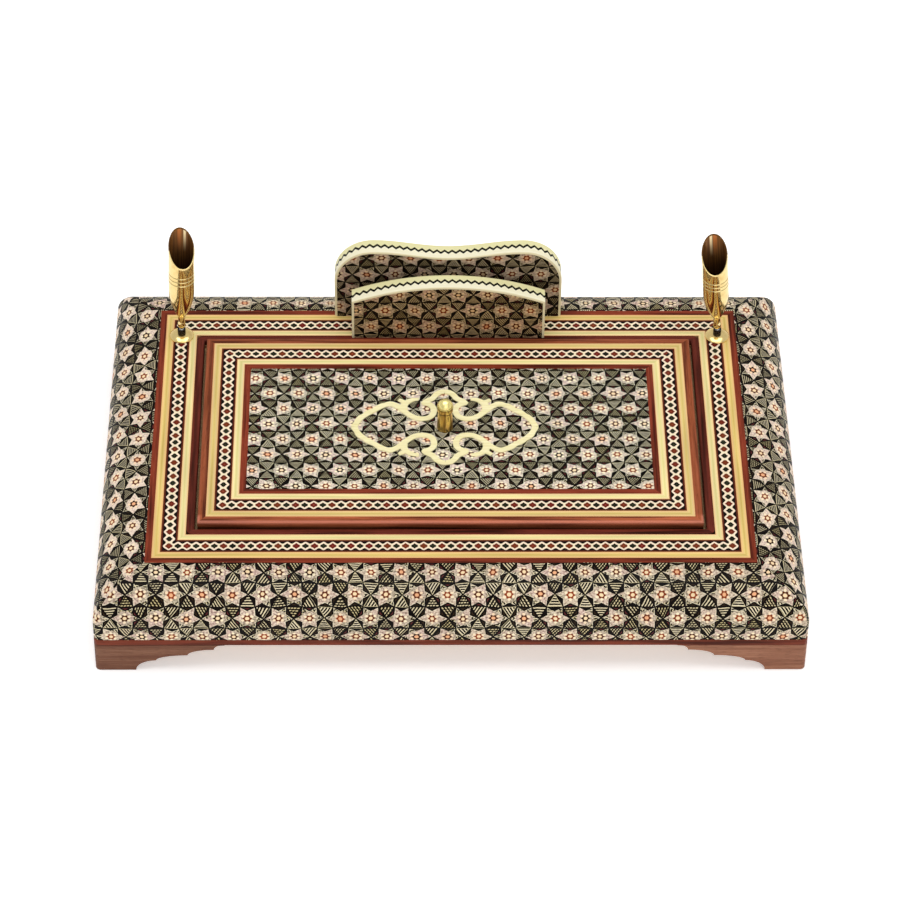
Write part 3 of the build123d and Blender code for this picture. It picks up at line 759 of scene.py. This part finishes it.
def lengths_along(line, closed=False):
    """How far each point of a line lies along it."""
    total = [0]
    ends = line[1:] + line[:1] if closed else line[1:]
    for start, end in zip(line, ends):
        total.append(total[-1] + math.dist(start, end))
    return total


def curve(x, z, wide, high, first, last, steps):
    """Points on an ellipse round (x, z), from one angle in degrees to another."""
    turns = [math.radians(first + (last - first) * i / steps) for i in range(steps + 1)]
    return [(x + wide * math.cos(turn), z + high * math.sin(turn)) for turn in turns]


def arc(start, through, end, steps):
    """Points on the circle through three points of a plane."""
    (ax, ay), (bx, by), (cx, cy) = start, through, end
    d = 2 * (ax * (by - cy) + bx * (cy - ay) + cx * (ay - by))
    a2, b2, c2 = ax * ax + ay * ay, bx * bx + by * by, cx * cx + cy * cy
    x = (a2 * (by - cy) + b2 * (cy - ay) + c2 * (ay - by)) / d
    y = (a2 * (cx - bx) + b2 * (ax - cx) + c2 * (bx - ax)) / d
    radius = math.dist(start, (x, y))
    first, last = [math.degrees(math.atan2(v - y, u - x)) for u, v in (start, end)]
    return curve(x, y, radius, radius, first, first + (last - first + 180) % 360 - 180, steps)


def rounded(offset, height, size, start):
    """A rounded arris of that size at a section's corner, from angle start to start + 90 degrees."""
    middle = math.radians(start + 45)
    x = offset - math.copysign(size, math.cos(middle))
    z = height - math.copysign(size, math.sin(middle))
    return curve(x, z, size, size, start, start + 90, 4)


def spin(degrees, axis):
    return Matrix.Rotation(math.radians(degrees), 4, axis)


def turned(name, profile, material, body, place, replaced, cut=None):
    """A lathe form of (radius, height) points. cut(angle, radius, height) gives other heights."""
    rows, measures = [], []
    for (radius, height), run in zip(profile, lengths_along(profile)):
        row = []
        for j in range(TURN_STEPS):
            angle = 2 * math.pi * j / TURN_STEPS
            level = cut(angle, radius, height) if cut else height
            row.append(place @ Vector((radius * math.cos(angle), radius * math.sin(angle), level)))
        rows.append(row)
        measures.append([(360 * j / TURN_STEPS, run) for j in range(TURN_STEPS + 1)])
    return add_piece(name, strip(rows, measures, closed_columns=True), material, body, replaced)


# Cushion sides

def skin_profile():
    """Section of an inlaid skin as (offset, height): its face downwards, and its back upwards."""
    middle = FRAME_TOP - CROWN_DROP
    face = curve(0, middle, CUSHION_OUT, CROWN_DROP, 90, 0, CROWN_STEPS)
    face += [(CUSHION_OUT, middle + (CUSHION_LOW - middle) * i / 4) for i in range(1, 5)]
    back = curve(0, middle, CUSHION_OUT - SKIN, CROWN_DROP - SKIN, 0, 90, CROWN_STEPS)
    return face, [(CUSHION_OUT - SKIN, CUSHION_LOW)] + back


def side_places(half_along, half_out, radius):
    """(along, out, run) from one mitre to the other, with the corners rounded in plan."""
    straight = half_along - radius
    corner = curve(straight, half_out - radius, radius, radius, 90, 45, CORNER_STEPS)
    runs = [straight + radius * math.pi / 4 * i / CORNER_STEPS for i in range(CORNER_STEPS + 1)]
    right = [(*place, run) for place, run in zip(corner, runs)]
    return [(-along, out, -run) for along, out, run in reversed(right)] + right


def cushion_side(name, turns, material):
    """One side of the cushion. turns is how many quarter turns it lies from the front."""
    half_along, half_out = FRAME_HALF if turns % 2 == 0 else FRAME_HALF[::-1]
    face, back = skin_profile()
    downs = lengths_along(face)
    downs += [downs[-1]] * len(back)
    turn = spin(90 * turns, "Z")
    rows, measures = [], []
    for (offset, height), down in zip(face + back, downs):
        radius = CUSHION_CORNER * offset / CUSHION_OUT + 0.02
        places = side_places(half_along + offset, half_out + offset, radius)
        rows.append([turn @ Vector((along, -out, height)) for along, out, _ in places])
        measures.append([(run, -down) for _, _, run in places])
    measures.append(measures[0])
    add_piece(f"inlaid_side_{name}", bar(rows, measures), material, "case", f"khatam_side_{name}")


# Mitred rings

def mitred_ring(name, half, profile, corner, material, body, replaced):
    """profile is a closed section of (offset, height), swept round a rectangle with rounded corners."""
    corners = ((1, -1, -90), (1, 1, 0), (-1, 1, 90), (-1, -1, 180))
    rows, measures = [], []
    for (offset, height), across in zip(profile + profile[:1], lengths_along(profile, closed=True)):
        out = max(corner + offset, 0)
        x, y = [size + offset - out for size in half]
        row = []
        for sign_x, sign_y, start in corners:
            row += curve(sign_x * x, sign_y * y, max(out, POINT), max(out, POINT), start, start + 90, 3)
        rows.append([(*place, height) for place in row])
        measures.append([(x + y, across) for x, y in row + row[:1]])
    shape = strip(rows[:-1], measures, closed_rows=True, closed_columns=True)
    add_piece(name, shape, material, body, replaced, 28)


# Card rack

def bezier(start, end, lead, steps):
    """A curve that leaves start and reaches end level, with handles of that length."""
    a, b, c, d = start, (start[0] + lead, start[1]), (end[0] - lead, end[1]), end
    line = []
    for t in [i / steps for i in range(steps + 1)]:
        weights = ((1 - t) ** 3, 3 * t * (1 - t) ** 2, 3 * t * t * (1 - t), t ** 3)
        line.append(tuple(sum(w * p[k] for w, p in zip(weights, (a, b, c, d))) for k in (0, 1)))
    return line


def back_line():
    """Outline of the rear board over the frame, from its left foot to its right foot."""
    side = BACK_WIDTH / 2
    hump = side - BACK_ROUND
    shoulder = BACK_HUMP - BACK_ROUND
    left = curve(-hump, shoulder, BACK_ROUND, BACK_ROUND, 180, 90, 15)
    dip = bezier((-hump, BACK_HUMP), (0, BACK_DIP), hump * 0.36, 16)
    half = [(-side, 0), (-side, shoulder / 2)] + left + dip[1:]
    return half + [(-x, z) for x, z in reversed(half[:-1])]


def front_line():
    side = FRONT_WIDTH / 2
    arch = arc((-side, FRONT_END), (0, FRONT_ARCH), (side, FRONT_END), 40)
    return [(-side, 0), (-side, FRONT_END / 2)] + arch + [(side, FRONT_END / 2), (side, 0)]


def inward(line):
    """The way inwards from each point of an outline, longer where the outline turns."""
    ways = []
    for before, here, after in zip(line[:1] + line, line, line[1:] + line[-1:]):
        normals = []
        for start, end in ((before, here), (here, after)):
            if start != end:
                size = math.dist(start, end)
                normals.append(((end[1] - start[1]) / size, (start[0] - end[0]) / size))
        x, z = [sum(values) / len(normals) for values in zip(*normals)]
        ways.append((x / (x * x + z * z), z / (x * x + z * z)))
    return ways


def banding(board, line, depth, material):
    """A strip bent over a board's edge, with rounded arrises."""
    front, back = depth
    ease = curve(BANDING_EASE, BANDING_EASE, BANDING_EASE, BANDING_EASE, 270, 180, 3)
    section = [(front + side, deep) for side, deep in ease] + [(front, BANDING), (back, BANDING)]
    section += [(back - side, deep) for side, deep in reversed(ease)]
    runs = lengths_along(line)
    rows, measures = [], []
    for y, deep in section + section[:1]:
        across = y - (front + back) / 2
        if not front + 0.1 < y < back - 0.1:
            across += math.copysign(deep, across)
        rows.append([(x + in_x * deep, y, FRAME_TOP + z + in_z * deep)
                     for (x, z), (in_x, in_z) in zip(line, inward(line))])
        measures.append([(run - runs[-1] / 2, across) for run in runs])
    shape = bar(rows[:-1], measures)
    add_piece(f"{board}_strip", shape, material, "case", f"{board}_banding", 40)


# Feet

def foot_line():
    """The underside of a bracket as (along, up) from its corner: where it stands, then the scallops."""
    line = [(FOOT_FLAT, 0)]
    for run, rise in FOOT_STEPS:
        along, up = line[-1]
        line += curve(along + run, up, run, rise, 180, 90, 8)[1:]
    return line


def foot(name, sign_x, sign_y, material):
    """Two brackets that meet at a corner, as one swept shell."""
    line = foot_line()
    far_x, far_y = CUSHION_HALF
    near_x, near_y = [size - FOOT_BOARD for size in CUSHION_HALF]
    path = [((far_x - along, far_y), (min(far_x - along, near_x), near_y), up)
            for along, up in reversed(line)]
    corner = curve(far_x - FOOT_CORNER, far_y - FOOT_CORNER, FOOT_CORNER, FOOT_CORNER, 90, 0, CORNER_STEPS)
    path += [(outer, (near_x, near_y), 0) for outer in corner]
    path += [((far_x, far_y - along), (near_x, min(far_y - along, near_y)), up) for along, up in line]
    sections = []
    for (ox, oy), (ix, iy), up in path:
        ease = Vector((ix - ox, iy - oy)).normalized() * FOOT_EASE
        side = up + min(FOOT_EASE, (FOOT_HEIGHT - up) / 2)
        section = [(ox, oy, FOOT_HEIGHT), (ox, oy, side), (ox + ease.x, oy + ease.y, up),
                   (ix - ease.x, iy - ease.y, up), (ix, iy, side), (ix, iy, FOOT_HEIGHT)]
        sections.append([(sign_x * x, sign_y * y, z) for x, y, z in section])
    rows = list(zip(*sections))
    measures = [[(0, 0)] * len(path)] * (len(rows) + 1)
    add_piece(f"bracket_{name}", bar(rows, measures), material, "case", f"foot_{name}", 40)


# Knob and funnels

def knob_profile():
    foot, neck, rim = KNOB_FOOT_OUT, KNOB_NECK_OUT, KNOB_RIM_OUT
    line = [(0, 0), (foot - 0.1, 0), (foot, 0.1)]
    line += arc((foot, 0.1), ((2 * foot + neck) / 3, 5), (neck, 10), 14)[1:]
    line += [(neck, 10.7), (neck + 0.07, 10.9), (rim - 0.1, KNOB_RIM - 0.1), (rim, KNOB_RIM + 0.15)]
    line += [(rim, KNOB_DOME - 0.1)]
    halfway = ((rim - KNOB_TIP_OUT) * 0.69 + KNOB_TIP_OUT, KNOB_DOME + (KNOB_HEIGHT - KNOB_DOME) * 0.69)
    dome = arc((rim - 0.02, KNOB_DOME + 0.05), halfway, (KNOB_TIP_OUT, KNOB_HEIGHT), 16)
    return line + dome + [(0, KNOB_HEIGHT)]


def funnel_profile():
    """Closed section as (radius, height): neck, cone, grooves, tube and mouth outside, then the bore."""
    inner = TUBE - TUBE_WALL
    line = [(0, NECK_FROM)] + arc((1.5, NECK_FROM), (2.05, NECK_FROM + 2), (1.6, NECK_FROM + 4), 10)
    rise, flare = TUBE_FROM - CONE_FROM, TUBE - CONE_THIN
    radius = (rise ** 2 + flare ** 2) / (2 * flare)
    middle = (TUBE - radius + math.sqrt(radius ** 2 - (rise / 2) ** 2), CONE_FROM + rise / 2)
    line += arc((CONE_THIN, CONE_FROM), middle, (TUBE, TUBE_FROM), 28)
    for low in [GROOVE_FROM + GROOVE_PITCH * index for index in range(3)]:
        line += [(TUBE - deep, low + up) for deep, up in GROOVE]
    line += [(TUBE, TUBE_PLAIN), (TUBE, MOUTH), (TUBE - MOUTH_EASE, MOUTH + 1)]
    line += [(inner + 0.15, MOUTH + 1), (inner, MOUTH), (inner, TUBE_PLAIN)]
    line += arc((inner, TUBE_FROM), (middle[0] - 2 * TUBE_WALL, middle[1]), (0.8, BORE_FROM), 24)
    return line + [(0, BORE_FROM)]


def mouth_cut(angle, radius, height):
    """Brings the top of the tube down to its slanted mouth. Its rim's arrises are eased."""
    if height < MOUTH:
        return height
    slope = (TUBE_TOP - TUBE_LIP) / (2 * TUBE)
    eased = MOUTH_EASE if height == MOUTH else 0
    return (TUBE_TOP + TUBE_LIP) / 2 + slope * radius * math.sin(angle) - eased


def funnel_places(side):
    """Frames of the flange, of the leaning ball and of the turned funnel."""
    forward, sideways, turn = FUNNEL_TURNS[side]
    base = Matrix.Translation((*FUNNEL_FEET[side], FRAME_TOP))
    lift = Matrix.Translation((0, 0, BALL_UP))
    lean = base @ lift @ spin(forward, "X") @ spin(sideways, "Y") @ lift.inverted()
    return base, lean, lean @ spin(turn, "Z")


def flange_profile():
    line = [(0, 0), (1.6, 0), (FLANGE - 0.3, 0), (FLANGE, 0.25), (FLANGE, 0.6)]
    line += arc((FLANGE - 0.05, 0.7), ((FLANGE + 2.8) / 2, FLANGE_TOP * 0.8), (2.8, FLANGE_TOP), 10)
    return line + [(1.6, FLANGE_TOP), (0, FLANGE_TOP)]


def socket_profile():
    """A small cup with a turned-in lip, open at its top round the stem."""
    outside = [(0, FLANGE_TOP), (1.9, FLANGE_TOP), (2.1, FLANGE_TOP + 0.2), (2.1, 5.1), (1.95, 5.4)]
    return outside + [(1.75, 5.5), (1.6, 5.42), (1.5, 5.1), (1.66, BALL_UP), (1.5, 3.5), (0, 2.7)]


def ball_profile():
    return curve(0, BALL_UP, BALL, BALL, -90, 60, 20) + [(STEM, 5.72), (STEM, 9), (0, 9)]


def line_bore(piece, place, bore, rim):
    """Gives the bore and the back half of the mouth's rim their own metals."""
    piece.data.materials.append(bore)
    piece.data.materials.append(rim)
    back = place.inverted()
    for face in piece.data.polygons:
        centre = back @ (face.center / MM)
        outward = Vector((centre.x, centre.y, 0)).normalized()
        facing = (back.to_3x3() @ face.normal).dot(outward)
        if facing < -0.3:
            face.material_index = 1
        if centre.y > 0 and centre.z > TUBE_LIP and abs(facing) < 0.95:
            face.material_index = 2


# Linings

def lining_grid(corners, normal):
    """Rows of points and measures of velvet on a board: it swells, and rolls over at its edges."""
    a, b, c, d = [Vector(corner) for corner in corners]
    steps_u, steps_v = LINING_STEPS
    rows, measures = [], []
    for i in range(steps_v + 1):
        row, marks = [], []
        for j in range(steps_u + 1):
            u, v = j / steps_u, i / steps_v
            wave = 0.10 * math.sin(9 * u + 3 * v) * math.sin(5 * v + 1)
            rim = min(j, steps_u - j, i, steps_v - i, 2) / 2
            swell = Vector(normal) * (LINING_SWELL + wave) * math.sqrt(rim)
            row.append(a.lerp(b, u).lerp(d.lerp(c, u), v) + swell)
            marks.append(((b - a).length * u, (d - a).length * v))
        rows.append(row)
        measures.append(marks)
    return rows, measures


def add_lining(name, panels, material, replaced):
    """panels are (four corners, the way its pile faces), in mm."""
    points, faces, marks = [], [], []
    for corners, normal in panels:
        new_points, new_faces, new_marks = strip(*lining_grid(corners, normal))
        faces += [[corner + len(points) for corner in face] for face in new_faces]
        points += new_points
        marks += new_marks
    piece = add_piece(name, (points, faces, marks), material, "case", replaced, 80, welded=False)


# CAD nodes

def soften(node, width):
    """Rounds a CAD node's arrises without changing its mesh."""
    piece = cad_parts[node]
    join = piece.modifiers.new("join", "WELD")
    join.merge_threshold = 1e-6
    edge = piece.modifiers.new("arris", "BEVEL")
    edge.width = width * MM
    edge.segments = 2
    edge.limit_method = "ANGLE"
    edge.angle_limit = math.radians(40)


def dress(material, *nodes):
    for node in nodes:
        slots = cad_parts[node].data.materials
        if not slots:
            slots.append(material)
        for index in range(len(slots)):
            slots[index] = material


# The object

REDS = ("96422c", "742c19", "48190d")  # light, mid and dark
SIDES = {"front": (SIDE_PITCH, (5.6, -6), 0.15), "right": (END_PITCH, (1, -7.1), 0.6),
         "back": (SIDE_PITCH, (2, -7.1), 0.1), "left": (END_PITCH, (4, -7.1), 0.8)}


def make_sides():
    for turns, (name, inlay) in enumerate(SIDES.items()):
        thread = COARSE if name == "front" else FINE
        cushion_side(name, turns, khatam(f"khatam_{name}", *inlay, SIDE_TONE, thread=thread))


def dress_strips(on, half, cream, border, inner):
    """The four flat strips round the frame or the lid, with their places, colours or links."""
    dress(red_wood(f"{on}_red", half, *REDS), f"{on}_red_line")
    dress(striped_wood(f"{on}_cream", half, *cream), f"{on}_cream_line")
    dress(khatam_border(f"{on}_border", half, *border), f"{on}_khatam_border")
    dress(striped_wood(f"{on}_inner", half, *inner), f"{on}_inner_cream")


def make_frame():
    cream = (*FRAME_CREAM, "f0cc8a", "e6cc7e", "cca854")
    inner = (*FRAME_INNER, "f6dea6", "eadc9c", "d6c882")
    dress_strips("frame", FRAME_HALF, cream, (FRAME_BORDER, FRAME_LINKS), inner)

    section = [(LIPPING_WIDTH, STRIP_LOW), (LIPPING_WIDTH, FRAME_TOP)] + rounded(0, FRAME_TOP, 0.7, 90)
    section += [(0, STRIP_LOW)]
    opening = [size + OPENING for size in FRAME_HALF]
    # Painted shade: a darker copy of the red wood for the lipping, which lies in the lid's shadow
    shaded_lipping = red_wood("lipping_red_painted_shade", FRAME_HALF, "763226", "5a2316", "321108")
    mitred_ring("opening_strip", opening, section, 0, shaded_lipping, "case", "opening_lipping")

    section = [(-TRIM_WIDTH, FOOT_HEIGHT)] + rounded(0, FOOT_HEIGHT, 0.5, 270)
    section += rounded(0, CUSHION_LOW, 0.5, 0) + [(-TRIM_WIDTH, CUSHION_LOW)]
    trim = red_wood("trim_red", FRAME_HALF, "803c2a", "662e1f", "461e14")
    mitred_ring("base_moulding", CUSHION_HALF, section, FOOT_CORNER, trim, "case", "base_trim")


def make_lid():
    cream = (*LID_CREAM, "e8ca90", "dec67e", "caac5e")
    inner = (*LID_INNER, "fae4ae", "eee09e", "d8cc82")
    dress_strips("lid", LID_HALF, cream, (LID_BORDER, LID_LINKS), inner)
    dress(khatam("khatam_lid", LID_PITCH, (-3.7, -42.15), 0.4, LID_TONE, "level"), "lid_khatam_panel")
    dress(medallion_wood(), "medallion")
    soften("medallion", 0.2)

    section = [(-LID_EDGE, LID_LOW)] + rounded(0, LID_LOW, 0.4, 270) + rounded(0, LID_TOP, 1, 0)
    section += [(-LID_EDGE, LID_TOP)]
    # The lid edge gets painted shade low on its sides and away from the front, and a painted highlight on
    # its front arris
    edge = red_wood("lid_edge_red", LID_HALF, "be6846", "9c502e", "622c18",
                    shaded=(LID_TOP - 3.8, LID_TOP - 0.2), arris="d68670")
    mitred_ring("lid_moulding", LID_HALF, section, 0.5, edge, "lid", "lid_edge")
    place = Matrix.Translation((*LID_CENTRE, LID_TOP))
    turned("brass_knob", knob_profile(), knob_brass(), "lid", place, "knob")


def make_rack():
    front = khatam("khatam_rack_front", RACK_PITCH, (5.1, 57.9), 0.2, RACK_FRONT_TONE, "upright")
    dress(front, "rack_front_khatam_front", "rack_front_khatam_rear")
    back = khatam("khatam_rack_back", RACK_PITCH, (2.9, 57.2), 0.4, RACK_BACK_TONE, "upright")
    dress(back, "rack_back_khatam_front", "rack_back_khatam_rear")
    pale = banding_wood()
    banding("rack_front", front_line(), RACK_FRONT, pale)
    banding("rack_back", back_line(), RACK_BACK, pale)


def make_feet():
    wood = foot_wood()
    for end, sign_y in (("front", -1), ("back", 1)):
        for hand, sign_x in (("left", -1), ("right", 1)):
            foot(f"{end}_{hand}", sign_x, sign_y, wood)


def make_funnels():
    gold = turned_metal("brass_funnel", "e4cc8e", "c49850", 0.09, 0.004)
    flange_gold = turned_metal("brass_flange", "f6da94", "cca25c", 0.14, 0.003)
    rim = turned_metal("brass_rim", "704e28", "462c14", 0.3)
    black = turned_metal("black_chrome", "3a3632", "221e1c", 0.16)
    steel = turned_metal("ball_steel", "bebcb8", "96928c", 0.15)
    for side in FUNNEL_FEET:
        base, lean, spun = funnel_places(side)
        for word, profile, metal, body, place, node, slot in (
                ("flange", flange_profile(), flange_gold, "case", base, "funnel_flange", "brass"),
                ("socket", socket_profile(), black, "case", base, "funnel_socket", "dark_metal"),
                ("stem", ball_profile(), steel, f"{side}_ball", lean, "ball_stem", "steel")):
            turned(f"turned_{word}_{side}", profile, metal, body, place, f"{node}_{side}")
        funnel = turned(f"turned_funnel_{side}", funnel_profile(), gold, f"{side}_funnel", spun,
                        f"pen_funnel_{side}", cut=mouth_cut)
        line_bore(funnel, spun, bore_metal(side), rim)


def make_lining():
    pile = velvet()
    x, y = INSIDE_HALF
    corners = ((-x, -y), (x, -y), (x, y), (-x, y))
    floor = [(*corner, CUSHION_LOW + 0.3) for corner in corners]
    add_lining("velvet_floor", [(floor, (0, 0, 1))], pile, "lining_floor")
    low, high = LINING_TOP, LEDGE_TOP
    panels = []
    for i in range(4):
        (x0, y0), (x1, y1) = corners[i], corners[i - 1]
        way = Vector((y1 - y0, x0 - x1, 0)).normalized()
        panels.append((((x0, y0, low), (x1, y1, low), (x1, y1, high), (x0, y0, high)), way))
    add_lining("velvet_walls", panels, pile, "lining_walls")


def dress_hidden():
    round_the_box = [f"{piece}_{side}" for piece in ("cushion_block", "wall") for side in SIDES]
    dress(plain_wood(), "bottom_board", "foot_glue_blocks", "ledge_strips", "lid_cleats", "lid_core",
          "rack_back_core", "rack_front_core", "rack_dowels", "rack_spacer", *round_the_box)
    dress(brushed_steel(), "bottom_screws", "funnel_studs", "knob_screw", "knob_washer")


# Camera, light and floor

CAMERA_PLACE = (-25.503, -1386.541, 1360.819)
CAMERA_DOWN = 43.65682
CAMERA_TURN = -1.07079
CAMERA_ROLL = 0.74084
CAMERA_LENS = 150.61
FLOOR_REACH = 14  # in metres


def add_object(name, data):
    made = bpy.data.objects.new(name, data)
    bpy.context.scene.collection.objects.link(made)
    return made


def add_camera():
    data = bpy.data.cameras.new("photo_camera")
    data.lens = CAMERA_LENS
    data.sensor_width = 36
    data.clip_start = 0.05
    data.clip_end = 60
    camera = add_object("photo_camera", data)
    look = spin(CAMERA_TURN, "Z") @ spin(90 - CAMERA_DOWN, "X") @ spin(CAMERA_ROLL, "Z")
    camera.matrix_world = Matrix.Translation(Vector(CAMERA_PLACE) * MM) @ look
    bpy.context.scene.camera = camera


def add_light(name, place, size, power):
    """A soft box that looks at the middle of the floor."""
    data = bpy.data.lights.new(name, "AREA")
    data.shape = "RECTANGLE"
    data.size, data.size_y = size
    data.energy = power
    light = add_object(name, data)
    light.location = place
    light.rotation_mode = "QUATERNION"
    light.rotation_quaternion = (-Vector(place)).to_track_quat("-Z", "Y")


def add_floor():
    mesh = bpy.data.meshes.new("floor")
    corners = [(x * FLOOR_REACH, y * FLOOR_REACH, 0) for x, y in ((-1, -1), (1, -1), (1, 1), (-1, 1))]
    mesh.from_pydata(corners, [], [(0, 1, 2, 3)])
    mesh.materials.append(paper_floor())
    add_object("floor", mesh)


def add_studio():
    world = bpy.data.worlds.new("studio")
    world.use_nodes = True
    bpy.context.scene.world = world
    g = Graph(world.node_tree)
    where = g.node("ShaderNodeTexCoord")
    _, depth, height = g.parts(Term(g, where.outputs["Generated"]))
    glow = g.ramp(abs(height - 0.05), 0, 0.5, 1, 0.8) * g.ramp(depth, -0.8, -0.3, 0.7, 1)
    ground = world.node_tree.nodes["Background"]
    g.put(ground, Color=g.mix(glow, "000000", "ffffff"), Strength=0.78)
    add_light("overhead", (0, -0.1, 2.2), (2.4, 1.6), 24)
    add_light("front", (0.5, -2.3, 1.5), (2.2, 2), 15.5)
    view = bpy.context.scene.view_settings
    view.view_transform = "Standard"
    view.look = "None"


add_camera()
add_floor()
add_studio()
make_sides()
make_frame()
make_lid()
make_rack()
make_feet()
make_funnels()
make_lining()
dress_hidden()
